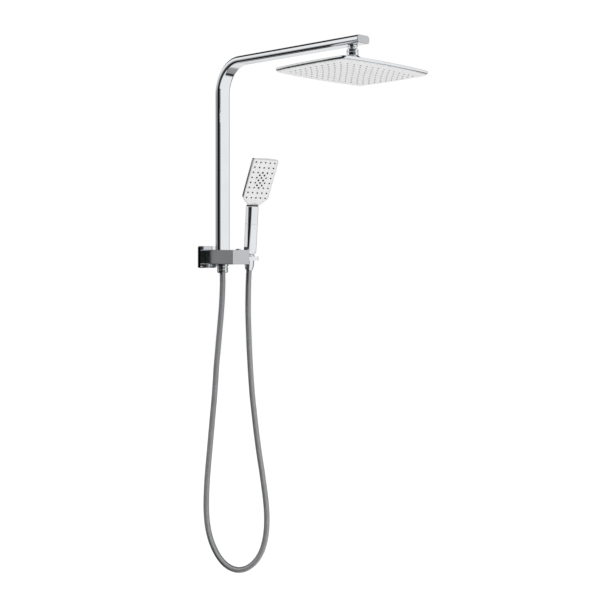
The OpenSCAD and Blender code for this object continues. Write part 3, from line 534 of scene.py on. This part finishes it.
# ---- places of the moving parts, from the joints ----
stance = {"headDrop": 45 * mm, "handsetTurn": -10, "neck": (0, -4.5 * mm, 121 * mm), "sprayLean": 113}
lean = math.atan2(-handsetAxis.y, handsetAxis.z)
places = {
    "riser": Matrix.Translation((0, -riser["reach"], 0)),
    "stem": Matrix.Translation(ballCentre) @ Matrix.Rotation(math.radians(riser["drop"]), 4, "X"),
    "ball": Matrix.Translation(ballCentre),
    "face": Matrix.Translation(ballCentre - Vector((0, 0, stance["headDrop"]))),
    "cone": Matrix.Translation(handsetFoot) @ Matrix.Rotation(lean, 4, "X"),
}
places["handset"] = places["cone"] @ Matrix.Rotation(math.radians(stance["handsetTurn"]), 4, "Z")
places["spray"] = (places["handset"] @ Matrix.Translation(stance["neck"])
                   @ Matrix.Rotation(math.radians(stance["sprayLean"]), 4, "X"))


def scaled(profile):
    return [(radius * mm, height * mm) for radius, height in profile]


# ---- arm end and ball joint ----
ballJoint = {
    "cap": 1.6, "capEdge": 0.5,
    "stem": [(5, 10.3), (9.6, 10.3), (10.3, 11), (10.3, 14.7), (7.5, 14.7), (7.5, 16.5)],
    "nut": [(8.4, 5.9), (8.7, 7.4), (10.2, 7.4), (12.3, 5.3), (12.3, 1.2), (11.8, 0.7), (11.8, -0.1),
            (12.3, -0.6), (12.3, -7), (11.7, -7.6), (10.9, -7.6), (10.9, -0.8), (10.2, -0.8), (9.6, 3.2)],
}


def addBallJoint():
    cap = roundedBar("armEndCap", riser["depth"], riser["width"], riser["corner"], 0, ballJoint["cap"] * mm)
    turn = (Matrix.Rotation(math.radians(90 + riser["drop"]), 4, "X")
            @ Matrix.Rotation(math.radians(90), 4, "Z"))
    settle(cap, "root", "chrome", ["arm_end_cap"], Matrix.Translation(armEnd) @ turn,
           ballJoint["capEdge"] * mm)
    cap.data.materials[0] = satinChrome
    ball = [(8 * math.cos(math.radians(a)), 8 * math.sin(math.radians(a))) for a in range(-88, 52, 5)]
    stem = turned("ballStem", scaled(ball + ballJoint["stem"]))
    settle(stem, "root", "chrome", ["ball_stem"], places["stem"], 0.25 * mm)
    nut = turned("swivelNut", scaled(ballJoint["nut"]), hollow=True)
    settle(nut, "rain_head", "chrome", ["swivel_nut"], places["ball"], 0.2 * mm)


addBallJoint()
print("ball joint ready")

# ---- rain head: a bowed rectangle with a thin chromed rim and a low dome ----
head = {
    "halfWidth": 129, "halfDepth": 98, "bowX": 5, "bowY": 9, "corner": 6, "edgePoints": 16, "cornerPoints": 6,
    "nozzles": (14, 10), "field": (221, 141), "hub": 18.5,
    "lip": [(3.2, 4.6), (2.7, 3.5), (1.8, 3), (1, 3.3), (0.4, 4.1), (0.1, 5.1), (0, 6), (0, 8.3), (0.12, 8.8),
            (0.5, 9.15), (1.4, 9.35)],
    # share of the outline's size, and height, up the dome to the hub
    "dome": [(0.93, 10.5), (0.86, 12), (0.78, 13.5), (0.7, 16.1), (0.62, 18.6), (0.54, 20.7), (0.46, 22.7),
             (0.38, 24.7), (0.3, 26.8), (0.24, 28.4), (0.19, 30), (0.16, 31.2)],
    "hubCap": [(18.5, 31.6), (18.2, 32.3), (16.8, 34.2), (15.2, 36), (14.6, 36.7), (13.9, 37), (10.4, 37)],
    "face": [(3, 4.6), (3, 1.3), (3.2, 0.6), (3.7, 0.15), (4.5, 0)],
    "nozzle": [(1.8, 0.3), (1.75, -0.1), (1.55, -0.2), (1.3, -0.55), (0.65, -0.6), (0.45, -0.2),
               (0.05, -0.2)],
}


def headRing(inset, height):
    halfW, halfD = head["halfWidth"] - inset, head["halfDepth"] - inset
    corner = max(head["corner"] - inset, 1)

    def bowed(half, sag, along):
        radius = (half * half + sag * sag) / (2 * sag)
        return sag - radius + math.sqrt(radius * radius - along * along)

    steps = head["edgePoints"]
    front = [(x, -halfD - bowed(halfW, head["bowY"], x))
             for x in [(halfW - corner) * (2 * i / steps - 1) for i in range(steps + 1)]]
    right = [(halfW + bowed(halfD, head["bowX"], y), y)
             for y in [(halfD - corner) * (2 * i / steps - 1) for i in range(steps + 1)]]
    near, far = front[-1], right[0]
    quarter = list(front)
    for i in range(1, head["cornerPoints"]):
        a = math.pi / 2 * i / head["cornerPoints"]
        quarter.append((near[0] + (far[0] - near[0]) * math.sin(a),
                        far[1] + (near[1] - far[1]) * math.cos(a)))
    quarter += right
    bend = quarter[len(front):-len(right)]
    outline = quarter + [(x, -y) for x, y in reversed(bend)] + [(-x, -y) for x, y in front]
    outline += [(-x, -y) for x, y in bend + right] + [(-x, y) for x, y in reversed(bend)]
    return [Vector((x * mm, y * mm, height * mm)) for x, y in outline]


def domeRing(share, height):
    # the outline drawn in, turning from the rim's shape to the round hub
    hubShare = head["hub"] / head["halfWidth"]
    roundness = ((1 - share) / (1 - hubShare)) ** 2
    ring = []
    for point in headRing(0, height):
        flat = Vector((point.x, point.y, 0))
        circle = flat.normalized() * head["halfWidth"] * mm
        spot = flat.lerp(circle, roundness) * share
        ring.append(Vector((spot.x, spot.y, height * mm)))
    return ring


def hubRing(radius, height):
    lift = Vector((0, 0, height * mm))
    return [Vector((p.x, p.y, 0)).normalized() * radius * mm + lift for p in headRing(0, 0)]


def addRainHead():
    rings = [headRing(*level) for level in head["lip"]] + [domeRing(*level) for level in head["dome"]]
    rings += [hubRing(*level) for level in head["hubCap"]]
    settle(lofted("headShell", rings), "rain_head", "chrome", ["head_top_shell"], places["face"], smooth=50)
    face = lofted("headFace", [headRing(*level) for level in head["face"]])
    settle(face, "rain_head", "white_plastic", ["head_face_plate"], places["face"], smooth=50)
    across, deep = head["nozzles"]
    spots = []
    for i in range(across):
        for j in range(deep):
            u, v = 2 * i / (across - 1) - 1, 2 * j / (deep - 1) - 1
            x = u * (head["field"][0] / 2 + 0.9 * head["bowX"] * (1 - v * v))
            y = v * (head["field"][1] / 2 + head["bowY"] * (1 - u * u))
            spots.append(Matrix.Translation((x * mm, y * mm, 0)))
    nozzle = turned("nozzle", scaled(head["nozzle"]), sides=12)
    clearSelection()
    nozzles = repeat("headNozzles", nozzle, spots)
    settle(nozzles, "rain_head", "grey_silicone", ["head_nozzle_mat"], places["face"], smooth=60, merge=1e-7)


addRainHead()
print("rain head ready")

# ---- fittings at both ends of the hose ----
fittings = {
    "outlet": [(8.2, -6), (8.2, -17), (14, -17), (14, -21.9), (13.3, -22.6), (10.3, -22.6), (10.3, -32),
               (6, -32), (6, -6)],
    "hoseNut": [(7.4, -37.8), (10.6, -37.8), (12.8, -35.6), (12.8, -30.6), (12.3, -30.1), (12.3, -29.3),
                (12.8, -28.8), (12.8, -24.6), (12, -23.8), (10.4, -23.8), (10.4, -35.6), (7.4, -35.6)],
    "coneNut": [(7.3, -31), (8.2, -31), (10.9, -22), (11.6, 4.2), (10.9, 5.2), (10.4, 5.2), (10.4, -9.5),
                (7.3, -11.5)],
    "gland": [(6.15, 13), (6.15, 17.3), (7.9, 17.3), (7.9, 13)],
    "button": [(5.7, 16.2), (5.95, 16.4), (5.95, 18.9), (5.7, 19.3), (5, 19.55), (3.4, 19.7), (0.2, 19.75)],
    "reach": 100,
}


def addFittings():
    outlet = turned("outletCollar", scaled(fittings["outlet"]), hollow=True)
    settle(outlet, "root", "chrome", ["outlet_nipple"], places["riser"], 0.3 * mm)
    nut = turned("hoseNut", scaled(fittings["hoseNut"]), hollow=True)
    settle(nut, "root", "chrome", ["hose_nut"], places["riser"], 0.3 * mm)
    cone = turned("conicalNut", scaled(fittings["coneNut"]), hollow=True)
    settle(cone, "conical_nut", "chrome", ["cone_nut"], places["cone"], 0.3 * mm)
    buttonPlace = Matrix.Translation((0, -fittings["reach"] * mm, 0))
    gland = turned("buttonRing", scaled(fittings["gland"]), hollow=True)
    settle(gland, "root", "chrome", ["diverter_gland"], buttonPlace, 0.1 * mm)
    button = turned("diverterKnob", scaled(fittings["button"]))
    settle(button, "diverter", "chrome", ["diverter_button"], buttonPlace)


addFittings()
print("fittings ready")


# ---- handset cradle ----
cradleEdge = 0.5 * mm


def addCradle():
    plate = bevelledCopy("cradlePlate", "holder_plate", cradleEdge, steps=2)
    settle(plate, "root", "chrome", ["holder_plate"])


addCradle()

# ---- handset: a flat handle, and a thin rectangular spray head leaning forward from it ----
handset = {
    # width, depth, corner radius and height along the handle
    "handle": [(18, 18, 9, 6.6), (19.4, 19, 8.6, 6.9), (21.6, 20.4, 7.6, 8.1), (23.4, 21.8, 6.5, 10.4),
               (24.6, 22.7, 5.4, 13), (25, 23, 5, 16), (25, 23, 5, 78.6), (24.5, 22.5, 4.8, 78.8),
               (24.5, 22.5, 4.8, 79.3), (25, 23, 5, 79.5), (25, 23, 5, 119.4), (24.7, 22.7, 4.9, 120.4),
               (24, 22, 4.6, 121)],
    "trim": [(23.4, 21.4, 4.4, 120.6), (23.4, 21.4, 4.4, 124.4)],
    # outline of the spray head: the neck, the taper, the sides and the slightly bowed top
    "outline": [(-11.5, -1), (11.5, -1), (35, 21), (35, 121.5), (0, 123), (-35, 121.5), (-35, 21)],
    "corner": 5,
    "shell": [(2.3, -0.9), (1.6, -0.2), (0.9, 0), (0.3, -0.25), (0, -0.9), (0.2, -1.6), (2.3, -8.4),
              (3, -10.2), (4.2, -11.8), (6, -12.9), (8.2, -13.4), (10.5, -13.5)],
    "shellFoot": 124.3,
    "face": [(2.2, -1.6), (2.2, 0.2), (2.4, 0.5), (2.9, 0.6)],
    "pitch": 12.9, "middle": 68,
    "nozzle": [(2.1, 0.3), (2.1, 0.75), (1.85, 0.85), (1.5, 1.4), (0.6, 1.4), (0.45, 0.8), (0.05, 0.8)],
    "jet": [(2.5, 0.3), (2.5, 0.8), (2.25, 1.1), (1.3, 1.15), (0.9, 0.7), (0.05, 0.7)],
    "button": [(8, -9.6), (8, -14.5), (7.6, -15.1), (6.6, -15.3), (5.4, -15.0), (0.3, -14.8)],
    "buttonHeight": 41,
}


def slabRing(width, depth, corner, height, steps=12):
    ring = []
    for quarter in range(4):
        sx, sy = ((1, 1), (-1, 1), (-1, -1), (1, -1))[quarter]
        for i in range(steps + 1):
            a = math.pi / 2 * (quarter + i / (steps + 1) + 0.5 / (steps + 1))
            x = sx * (width / 2 - corner) + corner * math.cos(a)
            y = sy * (depth / 2 - corner) + corner * math.sin(a)
            ring.append(Vector((x * mm, y * mm, height * mm)))
    return ring


def sprayRing(inset, height, steps=6):
    # the outline drawn in by an inset, with an arc at each corner
    corners = [Vector(point) for point in handset["outline"]]
    ring, count = [], len(corners)
    for i, corner in enumerate(corners):
        before = (corner - corners[i - 1]).normalized()
        after = (corners[(i + 1) % count] - corner).normalized()
        left, right = Vector((-before.y, before.x)), Vector((-after.y, after.x))
        bend = math.acos(max(-1, min(1, before.dot(after))))
        spot = corner + (left + right).normalized() * inset / math.cos(bend / 2)
        radius = max(handset["corner"] - inset, 1.2)
        centre = spot + (left + right).normalized() * radius / math.cos(bend / 2)
        for step in range(steps + 1):
            share = (step + 0.5) / (steps + 1)
            out = (-left).lerp(-right, share)
            ring.append(Vector(((centre + out.normalized() * radius) * mm).to_tuple() + (height * mm,)))
    return ring


def cutFoot(piece):
    # squares the spray head's foot to the top of the trim
    clearSelection()
    bpy.ops.mesh.primitive_cube_add(size=60 * mm)
    cutter = bpy.context.object
    foot = Matrix.Translation((0, 0, handset["shellFoot"] * mm - 30 * mm))
    cutter.matrix_world = places["spray"].inverted() @ places["handset"] @ foot
    clearSelection()
    cutAway(piece, cutter)


def addHandset():
    handle = lofted("handleShell", [slabRing(*level) for level in handset["handle"]])
    settle(handle, "handset", "chrome", ["handset_handle"], places["handset"], smooth=40)
    trim = lofted("neckTrim", [slabRing(*level) for level in handset["trim"]])
    settle(trim, "handset", "black_plastic", ["neck_trim"], places["handset"], 0.3 * mm)
    shell = lofted("sprayShell", [sprayRing(*level) for level in handset["shell"]])
    cutFoot(shell)
    settle(shell, "handset", "chrome", ["spray_back_shell"], places["spray"], smooth=50)
    face = lofted("sprayFace", [sprayRing(*level) for level in handset["face"]])
    cutFoot(face)
    settle(face, "handset", "white_plastic", ["spray_face_plate"], places["spray"], smooth=50)
    pitch, centre = handset["pitch"], handset["middle"]
    spots = [((i - 2) * pitch, centre + (j - 3.5) * pitch) for i in range(5) for j in range(8)
             if not (i == 2 and 2 <= j <= 5)]
    jets = [(0, centre + j * pitch) for j in (-1.5, -0.5, 0.5, 1.5)]
    jets += [(side * pitch / 2, centre + j * pitch) for j in (-1, 0, 1) for side in (-1, 1)]
    for name, shape, where, slotName, node in (
            ("sprayNozzles", "nozzle", spots, "grey_silicone", "spray_nozzle_mat"),
            ("sprayJets", "jet", jets, "black_plastic", "spray_jet_insert")):
        model = turned(name + "Model", scaled(handset[shape]), sides=16)
        clearSelection()
        group = repeat(name, model, [Matrix.Translation((x * mm, y * mm, 0)) for x, y in where])
        settle(group, "handset", slotName, [node], places["spray"], smooth=60, merge=1e-7)
    button = turned("spraySelector", scaled(handset["button"]))
    spot = places["spray"] @ Matrix.Translation((0, handset["buttonHeight"] * mm, 0))
    settle(button, "spray_button", "chrome", ["spray_button"], spot, smooth=45)


addHandset()
for piece in bpy.data.objects:
    if piece.name.startswith(("handset", "handle", "spray", "neck")):
        piece.visible_glossy = False  # keeps its dark back out of the riser's polished front
print("handset ready")

# ---- studio: a white room with dark flags, seen only in reflections ----
# Directions go round the object in degrees from +Y towards +X. Each level holds the brightness by direction
# between two heights, given as the sine of the elevation.
studio = {
    "level": [(-180, 0.12), (-149, 0.12), (-145, 0.012), (-55, 0.012), (-51, 0.31), (-36, 0.31), (-32, 0.8),
              (-18, 0.8), (-14, 0.05), (48, 0.06), (54, 0.12), (102, 0.14), (107, 0.93), (161, 0.93),
              (165, 0.12), (180, 0.12)],
    "high": [(-180, 0.12), (-149, 0.12), (-145, 0.012), (-62, 0.012), (-56, 0.95), (-16, 0.95), (-12, 0.5),
             (36, 0.5), (40, 0.9), (60, 0.9), (66, 0.12), (100, 0.12), (105, 0.93), (161, 0.93), (165, 0.12),
             (180, 0.12)],
    "above": [(-180, 0.93), (-44, 0.93), (-40, 0.03), (44, 0.03), (50, 0.4), (62, 0.4), (72, 0.06),
              (112, 0.06), (120, 0.93), (180, 0.93)],
    "below": [(-180, 0.93), (-150, 0.93), (-140, 0.1), (-50, 0.02), (34, 0.02), (38, 0.85), (58, 0.85),
              (66, 0.36), (100, 0.3), (103, 0.03), (111, 0.03), (118, 0.93), (180, 0.93)],
    "highFrom": (0.152, 0.185), "aboveFrom": (0.33, 0.42), "belowFrom": (-0.16, -0.11),
    "soft": 1.0,
}


def brightnessRound(tree, around, stops):
    ramp = addNode(tree, "ShaderNodeValToRGB", links={"Fac": around})
    marks = ramp.color_ramp.elements
    while len(marks) > 1:
        marks.remove(marks[-1])
    for i, (degrees, level) in enumerate(stops):
        mark = marks[0] if i == 0 else marks.new((degrees + 180) / 360)
        mark.position = (degrees + 180) / 360
        mark.color = (level, level, level, 1)
    return ramp.outputs["Color"]


def addStudio():
    world = bpy.data.worlds.new("whiteStudio")
    bpy.context.scene.world = world
    world.use_nodes = True
    tree = world.node_tree
    backdrop = tree.nodes["Background"]
    direction = addNode(tree, "ShaderNodeTexCoord").outputs["Generated"]
    parts = addNode(tree, "ShaderNodeSeparateXYZ", links={"Vector": direction})
    angle = addNode(tree, "ShaderNodeMath", {"operation": "ARCTAN2"})
    tree.links.new(parts.outputs["X"], angle.inputs[0])
    tree.links.new(parts.outputs["Y"], angle.inputs[1])
    around = addNode(tree, "ShaderNodeMapRange", {"From Min": -math.pi, "From Max": math.pi},
                     {"Value": angle.outputs["Value"]}).outputs["Result"]

    def higherThan(limits):
        return addNode(tree, "ShaderNodeMapRange", {"From Min": limits[0], "From Max": limits[1]},
                       {"Value": parts.outputs["Z"]}).outputs["Result"]

    def mixed(factor, low, high):
        node = addNode(tree, "ShaderNodeMix", {"data_type": "FLOAT"}, {"Factor": factor})
        for socket, value in (("A", low), ("B", high)):
            if isinstance(value, float):
                node.inputs[socket].default_value = value
            else:
                tree.links.new(value, node.inputs[socket])
        return node.outputs["Result"]

    tone = mixed(higherThan(studio["belowFrom"]), brightnessRound(tree, around, studio["below"]),
                 brightnessRound(tree, around, studio["level"]))
    tone = mixed(higherThan(studio["highFrom"]), tone, brightnessRound(tree, around, studio["high"]))
    tone = mixed(higherThan(studio["aboveFrom"]), tone, brightnessRound(tree, around, studio["above"]))
    ray = addNode(tree, "ShaderNodeLightPath")
    tone = mixed(ray.outputs["Is Diffuse Ray"], tone, studio["soft"])
    tone = mixed(ray.outputs["Is Camera Ray"], tone, 1.0)
    tree.links.new(tone, backdrop.inputs["Color"])


floorPlane = {"size": 12, "height": -1.02, "glow": 0.2}


def addFloor():
    clearSelection()
    bpy.ops.mesh.primitive_plane_add(size=floorPlane["size"], location=(0, 0, floorPlane["height"]))
    floor = bpy.context.object
    floor.name = "paleFloor"
    material, tree, shader, place = newFinish("whiteFloor", Roughness=0.9)
    shader.inputs["Base Color"].default_value = fromHex("#f4f4f4")
    shader.inputs["Emission Color"].default_value = fromHex("#ffffff")
    shader.inputs["Emission Strength"].default_value = floorPlane["glow"]
    floor.data.materials.append(material)
    floor.visible_glossy = False


darkCard = {"place": (-46.5 * mm, -0.4 * mm, 0), "width": 9 * mm, "height": 60 * mm}


def addDarkCard():
    # a flag beside the wall plate, which its polished left side reflects
    clearSelection()
    bpy.ops.mesh.primitive_plane_add(size=1, location=darkCard["place"], rotation=(math.pi / 2, 0, 0))
    card = bpy.context.object
    card.name = "darkCard"
    card.scale = (darkCard["width"], darkCard["height"], 1)
    material = newFinish("blackCard", Roughness=1.0, Specular_IOR_Level=0.0)[0]
    material.node_tree.nodes["Principled BSDF"].inputs["Base Color"].default_value = fromHex("#080808")
    card.data.materials.append(material)
    card.visible_camera = card.visible_shadow = card.visible_diffuse = False


addStudio()
addFloor()
addDarkCard()
bpy.context.scene.view_settings.view_transform = "Standard"
